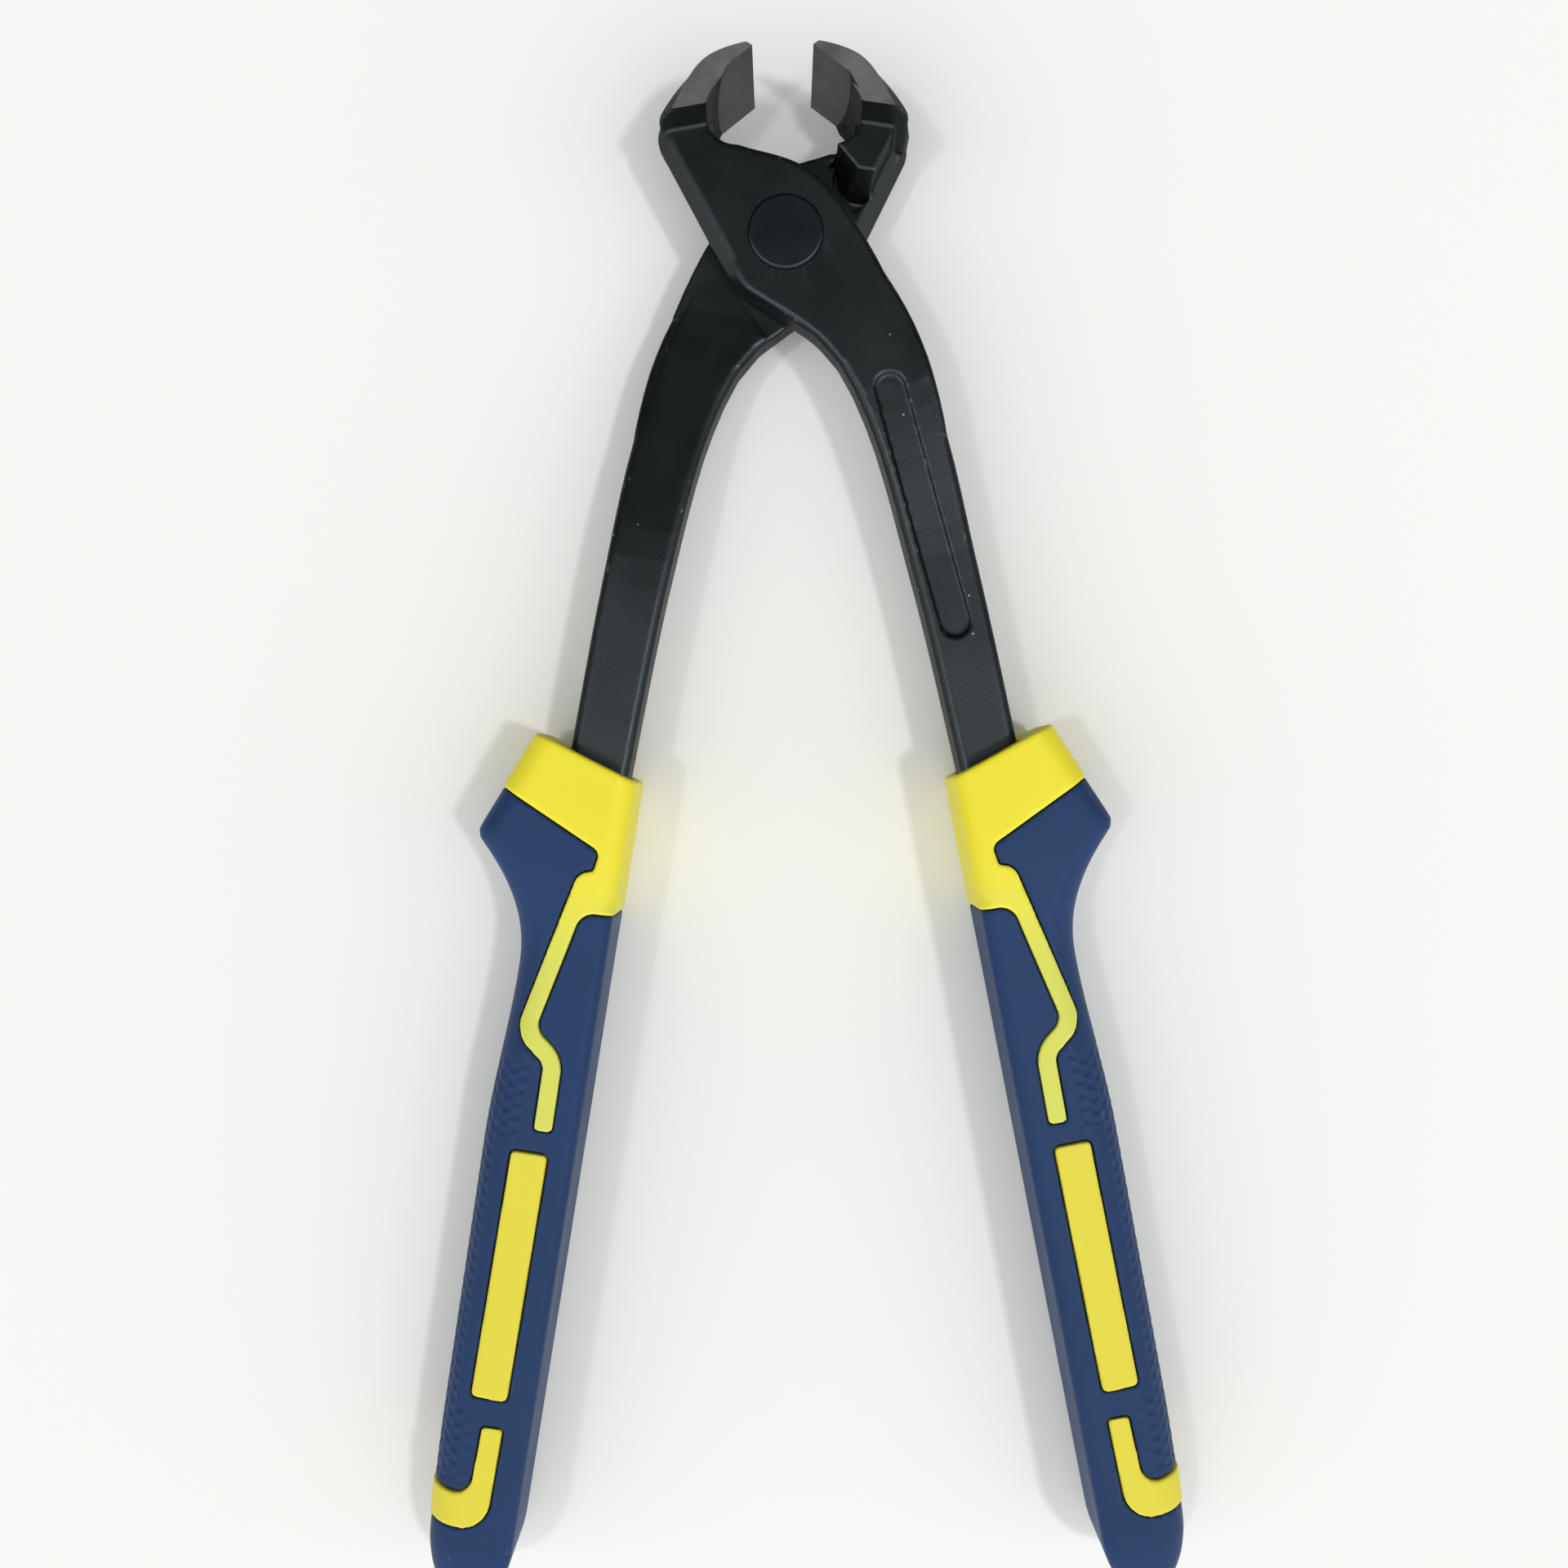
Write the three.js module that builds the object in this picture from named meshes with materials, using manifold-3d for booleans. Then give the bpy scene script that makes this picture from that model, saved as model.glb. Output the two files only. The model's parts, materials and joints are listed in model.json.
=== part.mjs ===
// Concreters nippers, 250 mm class: one lever forging used twice, lapped face to face on a rivet,
// with a two-shot grip on each arm. Millimetres, +Z up, lying flat with the jaws towards +Y.
// Shapes are drawn with the nippers closed, the pivot at the origin and the jaw of the lever on -X.
import * as THREE from "three";
import { mergeVertices } from "three/addons/utils/BufferGeometryUtils.js";
import Module from "manifold-3d";

// Fits
const fitGap = 0.3; // between neighbouring pieces
const edgeGap = 0.3; // between the cutting edges when closed
const shoulderGap = 0.45; // from a lap plate to the shoulder that it swings against

// Joint: degrees that each lever is turned from closed
const restAngle = 9.4;
const openAngle = 20;

// Jaws
const jawReach = 27.9; // pivot to cutting edge
const jawWidth = 22; // length of the cutting edge
const crownRadius = 20; // outer round of a jaw
const crownRise = 0.8; // top of the crown above the cutting edge
const crownOffset = 1; // crown centre from the closing plane
const heelReach = 17.5; // closing plane to the outside of the heel
const heelRadius = 4.5;
const heelRelief = 3; // heel drawn in towards the ground end faces
const endRound = 1.2; // lower outer corner of those faces
const throatRadius = 4.9; // round hollow behind the cutting bevels
const throatOffset = 4.3; // throat centre from the closing plane
const throatDrop = 7.8; // throat centre below the cutting edge
const throatTurn = 262; // degrees round the throat centre to where the brow begins
const throatLip = 0.95; // throat wall standing in at the ground end faces
const bevelWidth = 19; // machined part of the cutting bevel, along the edge
const bevelRun = 7.6; // and back from the edge
const stepDrop = 7.5; // ground end face, measured down from the cutting edge
const stepRun = 1.1; // slope from the ground face down to the lap face

// Lap joint
const headThickness = 12.6; // over both lap plates
const hubRadius = 11.2; // round of a lap plate about the pivot
const landRadius = 11.6; // bearing face about the pivot
const pocketDepth = 2.4; // relief beyond the bearing face
const pocketRun = 2; // that relief under the jaw root
const flankChamfer = 2.2; // along the outer flank
const plateChamfer = 0.6; // along the other edges
const browRadius = 10.9; // pivot to the plate edge over the throat
const browAngle = 62; // degrees round the pivot to that edge
const browDraft = 0.8; // that edge and the throat leaning out towards the lap plane
const shoulderRadius = 12.5; // pivot to the plate edge where the arm begins
const shoulderAngle = -12; // degrees round the pivot to that edge
const crotchAngle = 45; // slope of the plate edge into the crotch
const crotchRun = 15.5; // length of that edge
const rootRadius = 15.4; // pivot to the foot of the jaw root
const rootFoot = 12.8; // and where its wall runs out inside the lap plate
const rootAngle = 130; // degrees round the pivot to that foot
const rootInset = 2.7; // jaw root in from the outer flank
const rootDraft = 0.4; // its walls leaning out towards the lap plate

// Rivet
const headDiameter = 11.7;
const headHeight = 1.6;
const headProud = 0.5; // above the lap face
const headChamfer = 0.4;
const shankDiameter = 8.5;

// Arm, each station down from the pivot and out from the closing plane
const neckDrop = 31;
const neckCentre = 13.3;
const neckWidth = 11.7;
const bellyDrop = 8; // where the arm starts to thicken past the lap plane
const midDrop = 58.6;
const midCentre = 15.9;
const midWidth = 10.5;
const collarDrop = 88; // where the arm enters its grip
const collarCentre = 17.6;
const collarArmWidth = 9.8;
const armThickness = 9;
const armRound = 1.3;
const armSeat = 9; // full section kept inside the collar
const tangLength = 117; // past the collar's top edge
const tangWidth = 7;
const tangThickness = 6;

// Recessed panel on the arm's outer face
const panelDrop = 27.5; // pivot down to the centre of its upper end
const panelLength = 38.5; // between the centres of its round ends
const panelWidth = 5;
const panelDepth = 0.6;
const panelShift = 0.6; // from the middle of the arm towards the closing plane

// Grip, out from the grip axis and down from the middle of the collar's top edge
const gripDrop = 88.7; // pivot to that edge
const gripAxis = 19.2; // closing plane to the grip axis
const gripLength = 136.8;
const gripThickness = 17;
const palmReach = 7.7; // axis to the outside of the palm
const palmDrop = 62;
const innerTopReach = 8.4; // axis to the inner side at the collar
const innerEndReach = 7; // and at the butt
const innerRound = 1.8;
const outerRound = 6;
const collarReach = 8.7; // axis to the collar's outer top corner
const collarSlant = 6.2; // that corner above the inner one
const collarThickness = 18.6;
const mouthRound = 0.8; // edge round the collar's mouth
const guardReach = 15.6; // axis to the tip of the guard
const guardDrop = 13.5;
const guardSweep = 2.2; // exponent of the curve below the guard
const guardRound = 1.4; // length over which the tip is rounded
const waistReach = 6.2; // axis to the waist
const waistDrop = 33.3;
const tailDrop = 104; // where the outside starts to draw in towards the butt
const tailReach = 6.2; // axis to the outside at the butt
const buttRound = 11; // length of the rounded end
const buttDraw = 7; // how far the sides draw in over it
const sleeveWall = 1.6; // first shot round the tang
const buttWall = 12; // second shot past the sleeve
const inlayRise = 0.3; // first shot standing proud of the second

// First-shot pattern, out from the grip axis and down from the collar's top edge
const collarLineReach = 11.2; // boundary of collar and guard, at the outside
const collarLineTop = 5.9;
const notchReach = -4.7; // and at the notch beside the stripe
const notchTop = 13.5;
const notchDepth = 3.3;
const skirtDrop = 23.4; // lower edge of the collar's inner half
const stripeWidth = 2.9;
const stripeTopReach = -3.2;
const stripeTop = 17.3;
const stripeBendReach = 2.9;
const stripeBend = 43.3;
const stripeEndReach = -2.2;
const stripeKnee = 47.3;
const stripeEnd = 58.6;
const padWidth = 5.8;
const padTop = 62.3;
const padLength = 39.5;
const padLean = 0.65; // upper end nearer the closing plane
const hookReach = -1.25;
const hookTop = 106.3;
const hookWidth = 3.3;
const hookBandTop = 117.2;
const hookBandWidth = 5.4;
const inlayCorner = 1.5;
const hookCorner = 3;

const arcSteps = 9;
const far = 400; // past the ends of the tool, for cutters
const lapFace = headThickness / 2;
const lapPlane = fitGap / 2;
const armEnd = collarDrop + armSeat;
const deg = THREE.MathUtils.degToRad;
const { lerp, smoothstep } = THREE.MathUtils;
const point = (x, y) => new THREE.Vector2(x, y);
const pivot = point(0, 0);
const wasm = await Module();
wasm.setup();

// Outlines

function polar(centre, radius, angle) {
  return point(centre.x + radius * Math.cos(angle), centre.y + radius * Math.sin(angle));
}

function arc(centre, radius, from, to, steps = arcSteps) {
  return Array.from({ length: steps + 1 }, (_, i) => polar(centre, radius, lerp(from, to, i / steps)));
}

function circle(radius, steps = 32) {
  return arc(pivot, radius, 0, 2 * Math.PI, steps).slice(1);
}

function spline(...points) {
  return new THREE.CatmullRomCurve3(points.map((p) => new THREE.Vector3(p.x, p.y, 0)));
}

// Points of a spline between two of its parameters.
function along(curve, from, to, steps) {
  const at = (i) => curve.getPoint(lerp(from, to, i / steps));
  return Array.from({ length: steps + 1 }, (_, i) => point(at(i).x, at(i).y));
}

// Where a spline that runs steadily down crosses a height.
function crossing(curve, y) {
  let low = 0;
  let high = 1;
  for (let i = 0; i < 40; i++) {
    const middle = (low + high) / 2;
    if (curve.getPoint(middle).y > y) low = middle;
    else high = middle;
  }
  return point(curve.getPoint(low).x, y);
}

// The mitre at a corner between two directions: its unit normal, and its length per unit of offset.
function mitre(before, corner, after) {
  const a = corner.clone().sub(before).normalize();
  const b = after.clone().sub(corner).normalize();
  const normal = point(a.y + b.y, -a.x - b.x).normalize();
  return normal.divideScalar(Math.max(0.4, Math.sqrt((1 + a.dot(b)) / 2)));
}

// A counter-clockwise outline moved outwards.
function grown(outline, distance) {
  return outline.map((p, i) => {
    const next = outline[(i + 1) % outline.length];
    return p.clone().addScaledVector(mitre(outline.at(i - 1), p, next), distance);
  });
}

// A counter-clockwise outline round a path of even width with square ends.
function ribbon(path, width) {
  const beyond = (end, beside) => end.clone().multiplyScalar(2).sub(beside);
  const whole = [beyond(path[0], path[1]), ...path, beyond(path.at(-1), path.at(-2))];
  const side = (sign) =>
    path.map((p, i) => p.clone().addScaledVector(mitre(whole[i], p, whole[i + 2]), (sign * width) / 2));
  return [...side(1), ...side(-1).reverse()];
}

// An outline with each corner cut round.
function rounded(outline, radius) {
  return outline.flatMap((p, i) => {
    const before = outline.at(i - 1);
    const after = outline[(i + 1) % outline.length];
    const reach = (q) => Math.min(radius, p.distanceTo(q) / 2.2);
    const start = p.clone().lerp(before, reach(before) / p.distanceTo(before));
    const end = p.clone().lerp(after, reach(after) / p.distanceTo(after));
    return new THREE.QuadraticBezierCurve(start, p, end).getPoints(3);
  });
}

// Solids

function solid(geometry) {
  geometry.deleteAttribute("normal");
  geometry.deleteAttribute("uv");
  const merged = mergeVertices(geometry, 1e-4);
  return new wasm.Manifold(
    new wasm.Mesh({
      numProp: 3,
      vertProperties: merged.attributes.position.array,
      triVerts: new Uint32Array(merged.index.array),
    }),
  );
}

function geometryOf(body) {
  const mesh = body.getMesh();
  const geometry = new THREE.BufferGeometry();
  geometry.setAttribute("position", new THREE.BufferAttribute(mesh.vertProperties, 3));
  geometry.setIndex(new THREE.BufferAttribute(mesh.triVerts, 1));
  geometry.computeVertexNormals();
  return geometry;
}

// A skin over closed loops with equal numbers of points, flat at both ends.
function loft(loops) {
  const count = loops[0].length;
  const index = [];
  for (let i = 0; i + 1 < loops.length; i++) {
    for (let j = 0; j < count; j++) {
      const a = i * count + j;
      const b = i * count + ((j + 1) % count);
      index.push(a, b, b + count, a, b + count, a + count);
    }
  }
  const cap = (loop) => {
    const normal = new THREE.Vector3();
    loop.forEach((p, j) => normal.add(p.clone().cross(loop[(j + 1) % count])));
    const upright = new THREE.Quaternion();
    upright.setFromUnitVectors(normal.normalize(), new THREE.Vector3(0, 0, 1));
    const flat = loop.map((p) => p.clone().applyQuaternion(upright));
    return THREE.ShapeUtils.triangulateShape(flat.map((p) => point(p.x, p.y)), []);
  };
  const last = (loops.length - 1) * count;
  cap(loops[0]).forEach(([a, b, c]) => index.push(c, b, a));
  cap(loops.at(-1)).forEach(([a, b, c]) => index.push(a + last, b + last, c + last));
  const geometry = new THREE.BufferGeometry();
  const positions = loops.flat().flatMap((p) => [p.x, p.y, p.z]);
  geometry.setAttribute("position", new THREE.Float32BufferAttribute(positions, 3));
  geometry.setIndex(index);
  return solid(geometry);
}

// Counter-clockwise outlines stacked upwards.
function stack(...levels) {
  return loft(levels.map(([z, outline]) => outline.map((p) => new THREE.Vector3(p.x, p.y, z))));
}

function prism(outline, bottom, top) {
  return stack([bottom, outline], [top, outline]);
}

// Rounded oblongs from an inner to an outer edge, one for each station, made larger by grow.
function spar(stations, inside, outside, grow = 0) {
  const quarter = Math.PI / 2;
  const corner = (x, z, radius, turn) => arc(point(x, z), radius, turn * quarter, (turn + 1) * quarter, 4);
  const loops = stations.map(({ inner, outer, half, lift = 0 }) => {
    const width = outer.distanceTo(inner);
    const across = outer.clone().sub(inner).divideScalar(width);
    const high = half + grow;
    const inRound = Math.min(inside, 0.9 * high, 0.45 * width);
    const outRound = Math.min(outside, 0.9 * high, 0.45 * width);
    const left = inRound - grow;
    const right = width + grow - outRound;
    const section = [
      ...corner(right, high - outRound, outRound, 0),
      ...corner(left, high - inRound, inRound, 1),
      ...corner(left, inRound - high, inRound, 2),
      ...corner(right, outRound - high, outRound, 3),
    ];
    return section.map(({ x, y }) => {
      const plan = inner.clone().addScaledVector(across, x);
      return new THREE.Vector3(plan.x, plan.y, y + lift);
    });
  });
  return loft(loops);
}

// Lever, in plan: the geometry that jaw, lap plate and arm share

const crownCentre = point(-crownOffset, jawReach + crownRise - crownRadius);
const heelCosine = (heelReach - heelRadius - crownOffset) / (crownRadius - heelRadius);
const heelAngle = Math.PI - Math.acos(heelCosine);
const heelCentre = polar(crownCentre, crownRadius - heelRadius, heelAngle);
const flankAngle = heelCentre.angle() + Math.acos((hubRadius - heelRadius) / heelCentre.length());
const cuttingEdge = point(-edgeGap / 2, jawReach);
const throatCentre = point(-throatOffset, jawReach - throatDrop);
const throatSight = throatCentre.clone().sub(cuttingEdge);
const bevelAngle = throatSight.angle() - Math.asin(throatRadius / throatSight.length()) - Math.PI / 2;
const throatEnd = deg(throatTurn);
const hubEnd = Math.PI + deg(crotchAngle);
const crotchTop = polar(pivot, hubRadius, hubEnd);
const crotchFoot = polar(crotchTop, crotchRun, -deg(crotchAngle));
const innerEdge = spline(
  crotchTop,
  crotchFoot,
  point(neckCentre - neckWidth / 2, -neckDrop),
  point(midCentre - midWidth / 2, -midDrop),
  point(collarCentre - collarArmWidth / 2, -armEnd - fitGap),
);
const outerEdge = spline(
  polar(throatCentre, throatRadius, throatEnd),
  polar(pivot, browRadius, deg(browAngle)),
  polar(pivot, shoulderRadius, deg(shoulderAngle)),
  point(neckCentre + neckWidth / 2, -neckDrop),
  point(midCentre + midWidth / 2, -midDrop),
  point(collarCentre + collarArmWidth / 2, -armEnd - fitGap),
);

// Angle at which a circle reaches a height on its left side.
function leftAngle(centre, radius, y) {
  return Math.PI - Math.asin(THREE.MathUtils.clamp((y - centre.y) / radius, -0.95, 0.95));
}

// Cutting edge, crown, heel, foot of the jaw, throat and cutting bevel, at a height from the jaw's middle.
function jawOutline(z, relief, drop) {
  const footY = jawReach - drop;
  const steps = 14;
  const ground = Math.abs(z) > lapFace;
  const round = ground ? endRound : heelRadius - relief;
  const reach = crownRadius - relief - round;
  const turn = ground ? leftAngle(crownCentre, reach, footY + round) : heelAngle;
  const corner = polar(crownCentre, reach, turn);
  const crown = arc(crownCentre, crownRadius, Math.PI / 2, turn, steps).map((p, i) => {
    const share = smoothstep(i / steps, 0.45, 1) * relief;
    return p.lerp(crownCentre, share / crownRadius);
  });
  const heelEnd = ground ? 1.5 * Math.PI : Math.max(turn, leftAngle(corner, round, footY));
  const heel = arc(corner, round, turn, heelEnd, 4);
  const lip = throatLip * Math.abs((2 * z) / jawWidth) ** 3;
  const throatStart = leftAngle(throatCentre, throatRadius, footY);
  const throat = arc(throatCentre, throatRadius, throatStart, bevelAngle).map((p, i) => {
    const share = Math.max(0, -Math.sin(2 * lerp(throatStart, bevelAngle, i / arcSteps)));
    return p.lerp(throatCentre, (share * lip) / throatRadius);
  });
  return [cuttingEdge, ...crown, ...heel.slice(1), ...throat];
}

// What the machining of the cutting bevel takes off.
function bevelCut() {
  const back = polar(cuttingEdge, bevelRun, bevelAngle + Math.PI / 2);
  const away = (p) => polar(p, throatRadius, bevelAngle + Math.PI);
  return prism([cuttingEdge, back, away(back), away(cuttingEdge)], -bevelWidth / 2, bevelWidth / 2);
}

// Heel, outer flank, hub, crotch, neck, shoulder, brow and throat, each drawn in by its own amount.
function plateOutline(flankIn, edgeIn, browIn) {
  const inwards = (points, distance) => grown(points, -distance).slice(1, -1);
  const heel = arc(heelCentre, heelRadius - flankIn, heelAngle, flankAngle, 6);
  const hub = Array.from({ length: arcSteps + 1 }, (_, i) => {
    const share = i / arcSteps;
    return polar(pivot, hubRadius - lerp(flankIn, edgeIn, share), lerp(flankAngle, hubEnd, share));
  });
  const crotch = along(innerEdge, 0, 0.36, 10);
  const brow = along(outerEdge, 0.52, 0, 18);
  const throat = arc(throatCentre, throatRadius + browIn, throatEnd, 0.9 * Math.PI);
  return [...heel, ...hub, ...inwards(crotch, edgeIn), ...inwards(brow, browIn), ...throat];
}

function jaw() {
  const end = jawWidth / 2;
  const level = (z, relief, drop) => [z, jawOutline(z, relief * heelRelief, drop)];
  const foot = stepDrop + stepRun;
  return stack(
    level(-end, 1, stepDrop),
    level(-lapFace, 0.17, foot),
    level(-0.4 * lapFace, 0, foot),
    level(0.4 * lapFace, 0, foot),
    level(lapFace, 0.17, foot),
    level(end, 1, stepDrop),
  );
}

function lapPlate() {
  return stack(
    [lapPlane, plateOutline(flankChamfer, 0, -browDraft)],
    [0.4 * lapFace, plateOutline(0, 0, -0.6 * browDraft)],
    [0.6 * lapFace, plateOutline(0, 0, -0.4 * browDraft)],
    [lapFace - plateChamfer / 2, plateOutline(0.7 * flankChamfer, 0.3 * plateChamfer, 0)],
    [lapFace, plateOutline(flankChamfer, plateChamfer, plateChamfer)],
  );
}

// The block under the lap plane that carries the jaw past the other lever's plate.
function jawRoot() {
  const outer = heelRadius - rootInset;
  const footOuter = polar(pivot, hubRadius - rootInset, flankAngle);
  const flank = polar(heelCentre, outer, flankAngle).sub(footOuter).normalize();
  const outline = (radius) => {
    const footInner = polar(pivot, radius, deg(rootAngle));
    const rise = (footInner.y - footOuter.y) / flank.y;
    return [
      polar(heelCentre, outer, heelAngle),
      polar(heelCentre, outer, flankAngle),
      footOuter.clone().addScaledVector(flank, rise),
      footInner,
      ...arc(throatCentre, throatRadius + fitGap, throatEnd - deg(12), deg(170), 4),
    ];
  };
  return stack([-lapFace, outline(rootRadius)], [0.5 * lapFace, grown(outline(rootFoot), rootDraft)]);
}

// Relief between the bearing face and the jaw root.
function lapPocket() {
  const outline = [
    ...arc(pivot, landRadius, deg(rootAngle + 18), deg(rootAngle - 30), 6),
    polar(throatCentre, throatRadius, throatEnd - deg(22)),
    polar(pivot, rootRadius + pocketRun, deg(rootAngle - 5)),
    polar(pivot, rootRadius + pocketRun, deg(rootAngle + 10)),
  ];
  return prism(outline, -far, lapPlane + pocketDepth);
}

// Everything below the lap plane that the other plate passes over between closed and fully open.
function sweptLap() {
  const clear = hubRadius + shoulderGap;
  const strip = (normal) => {
    const turn = normal + Math.PI / 2;
    const edge = polar(pivot, clear, normal);
    const back = polar(pivot, -clear, normal);
    return [polar(edge, far, turn), polar(back, far, turn), polar(back, -far, turn), polar(edge, -far, turn)];
  };
  const disc = prism(circle(clear, 48), -far, lapPlane);
  const whenClosed = prism(strip(-deg(crotchAngle)), -far, lapPlane);
  const whenOpen = prism(strip(Math.PI - flankAngle - 2 * deg(openAngle)), -far, lapPlane);
  return disc.add(whenClosed).add(whenOpen);
}

// Arm sections from below the hub to the end of the arm's seat in the collar.
function armStations(sink = 0, top = -0.1 * neckDrop, bottom = -armEnd) {
  const steps = 20;
  return Array.from({ length: steps + 1 }, (_, i) => {
    const y = lerp(top, bottom, i / steps);
    const face = lerp(lapFace, armThickness / 2, smoothstep(-y, 0.8 * neckDrop, midDrop)) - sink;
    const belly = lerp(lapPlane, -armThickness / 2, smoothstep(-y, bellyDrop, midDrop)) + sink;
    const [half, lift] = [(face - belly) / 2, (face + belly) / 2];
    return { inner: crossing(innerEdge, y), outer: crossing(outerEdge, y), half, lift };
  });
}

// A section of the tang, which leans out from the arm to the grip axis, with a wall round it.
function tangStation(y, wall = 0) {
  const centre = lerp(collarCentre, gripAxis, (-collarDrop - y) / tangLength);
  return {
    inner: point(centre - tangWidth / 2 - wall, y),
    outer: point(centre + tangWidth / 2 + wall, y),
    half: tangThickness / 2 + wall,
  };
}

function tang(grow = 0) {
  const stations = [tangStation(-collarDrop), tangStation(-collarDrop - tangLength - grow)];
  return spar(stations, armRound, armRound, grow);
}

// A round-ended recess that follows the arm's outer face at an even depth.
function armPanel() {
  const middle = (y) => {
    const x = (crossing(innerEdge, y).x + crossing(outerEdge, y).x) / 2;
    return point(x - panelShift, y);
  };
  const top = middle(-panelDrop);
  const bottom = middle(-panelDrop - panelLength);
  const lean = bottom.clone().sub(top).angle();
  const quarter = Math.PI / 2;
  const outline = [
    ...arc(bottom, panelWidth / 2, lean - quarter, lean + quarter),
    ...arc(top, panelWidth / 2, lean + quarter, lean + 3 * quarter),
  ];
  return prism(outline, 0, far).subtract(spar(armStations(panelDepth), panelDepth, panelDepth));
}

function rivetBore() {
  const seat = lapFace + headProud - headHeight - fitGap;
  const shank = prism(circle(shankDiameter / 2 + fitGap), -far, far);
  return shank.add(prism(circle(headDiameter / 2 + fitGap), seat, far));
}

function lever() {
  const plate = lapPlate().subtract(lapPocket());
  const arm = spar(armStations(), armRound, armRound).subtract(sweptLap());
  const forging = jaw().subtract(bevelCut()).add(plate).add(jawRoot()).add(arm).add(tang());
  return forging.subtract(rivetBore()).subtract(armPanel());
}

function rivet() {
  const top = lapFace + headProud;
  const head = headDiameter / 2;
  const shank = shankDiameter / 2;
  const half = [
    point(shank, top - headHeight),
    point(head, top - headHeight),
    point(head, top - headChamfer),
    point(head - headChamfer, top),
    point(0, top),
  ];
  const mirrored = half.map((p) => point(p.x, -p.y)).reverse();
  const turned = new THREE.LatheGeometry([...mirrored, ...half], 32);
  return solid(turned.rotateX(Math.PI / 2));
}

// Grip

// A place on the grip, out from its axis and down from the collar's top edge.
const onGrip = (reach, drop) => point(gripAxis + reach, -gripDrop - drop);

function outsideReach(drop) {
  if (drop < guardDrop) {
    const share = (drop + collarSlant / 2) / (guardDrop + collarSlant / 2);
    return lerp(collarReach, guardReach, share);
  }
  if (drop < waistDrop) {
    const share = (waistDrop - drop) / (waistDrop - guardDrop);
    return lerp(waistReach, guardReach, share ** guardSweep);
  }
  if (drop < tailDrop) return lerp(waistReach, palmReach, smoothstep(drop, waistDrop, palmDrop));
  return lerp(palmReach, tailReach, ((drop - tailDrop) / (gripLength - tailDrop)) ** 2);
}

// The same with the tip of the guard rounded.
function softReach(drop) {
  const shares = [-1, -0.5, 0, 0.5, 1];
  const reaches = shares.map((share) => outsideReach(drop + share * guardRound));
  return reaches.reduce((sum, reach) => sum + reach) / shares.length;
}

function insideReach(drop) {
  return -lerp(innerTopReach, innerEndReach, drop / gripLength);
}

// Sections of the whole grip; rise lifts the surface.
function gripBody(rise = 0) {
  const station = (drop, slant, drawn) => {
    const lean = (slant * collarSlant) / 2;
    const thick = lerp(collarThickness, gripThickness, smoothstep(drop, guardDrop, waistDrop));
    return {
      inner: onGrip(insideReach(drop + lean) + drawn, drop + lean),
      outer: onGrip(softReach(drop - lean) - drawn, drop - lean),
      half: thick / 2 - 0.8 * drawn,
    };
  };
  const evenly = (from, to, steps) =>
    Array.from({ length: steps }, (_, i) => lerp(from, to, (i + 1) / steps));
  const plain = (from, to, steps) => evenly(from, to, steps).map((drop) => station(drop, 0, 0));
  const collar = [station(-rise, 1, mouthRound), station(mouthRound, 1, 0), station(guardDrop / 2, 0.6, 0)];
  const tip = plain(guardDrop - 2 * guardRound, guardDrop + guardRound, 6);
  const guard = plain(guardDrop + guardRound, waistDrop, 6);
  const palm = plain(waistDrop, gripLength - buttRound, 6);
  const butt = [25, 45, 65, 85].map((angle) => {
    const drop = gripLength - buttRound * (1 - Math.sin(deg(angle)));
    return station(drop, 0, buttDraw * (1 - Math.cos(deg(angle))));
  });
  return spar([...collar, ...tip, ...guard, ...palm, ...butt], innerRound, outerRound, rise);
}

// Plan outlines of what the first shot shows: the collar with its stripe, the pad and the hook.
function inlayOutlines() {
  const slope = (notchTop - collarLineTop) / (collarLineReach - notchReach);
  const beyond = 2 * guardReach;
  const lean = (stripeBendReach - stripeTopReach) / (stripeBend - stripeTop);
  const skirtReach = stripeTopReach + lean * (skirtDrop - stripeTop);
  const stripe = [
    onGrip(stripeTopReach, stripeTop),
    onGrip(stripeBendReach, stripeBend),
    onGrip(stripeEndReach, stripeKnee),
    onGrip(stripeEndReach, stripeEnd),
  ];
  const collar = [
    onGrip(beyond, collarLineTop - slope * (beyond - collarLineReach)),
    onGrip(beyond, -beyond),
    onGrip(-beyond, -beyond),
    onGrip(-beyond, skirtDrop),
    onGrip(skirtReach - stripeWidth / 2, skirtDrop),
    ...ribbon(stripe, stripeWidth).slice(1, -1),
    onGrip(stripeTopReach + stripeWidth / 2, stripeTop),
    onGrip(notchReach, notchTop + notchDepth),
    onGrip(notchReach, notchTop),
  ];
  const hook = [
    onGrip(hookReach - hookWidth / 2, hookTop),
    onGrip(hookReach - hookWidth / 2, hookBandTop + hookBandWidth),
    onGrip(beyond, hookBandTop + hookBandWidth),
    onGrip(beyond, hookBandTop),
    onGrip(hookReach + hookWidth / 2, hookBandTop),
    onGrip(hookReach + hookWidth / 2, hookTop),
  ];
  const pad = ribbon([onGrip(-padLean, padTop), onGrip(0, padTop + padLength)], padWidth);
  return [
    rounded(collar, inlayCorner),
    rounded(pad, inlayCorner),
    rounded(hook, hookCorner),
  ];
}

function inlays(grow) {
  const prisms = inlayOutlines().map((outline) => prism(grown(outline, grow), -far, far));
  return prisms.reduce((all, one) => all.add(one));
}

// The first shot's sleeve on the tang, under the second shot.
function sleeve(grow = 0) {
  const wall = sleeveWall + fitGap;
  const end = -gripDrop - gripLength + buttWall - grow;
  return spar([tangStation(-armEnd + grow, wall), tangStation(end, wall)], innerRound, innerRound, grow);
}

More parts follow.
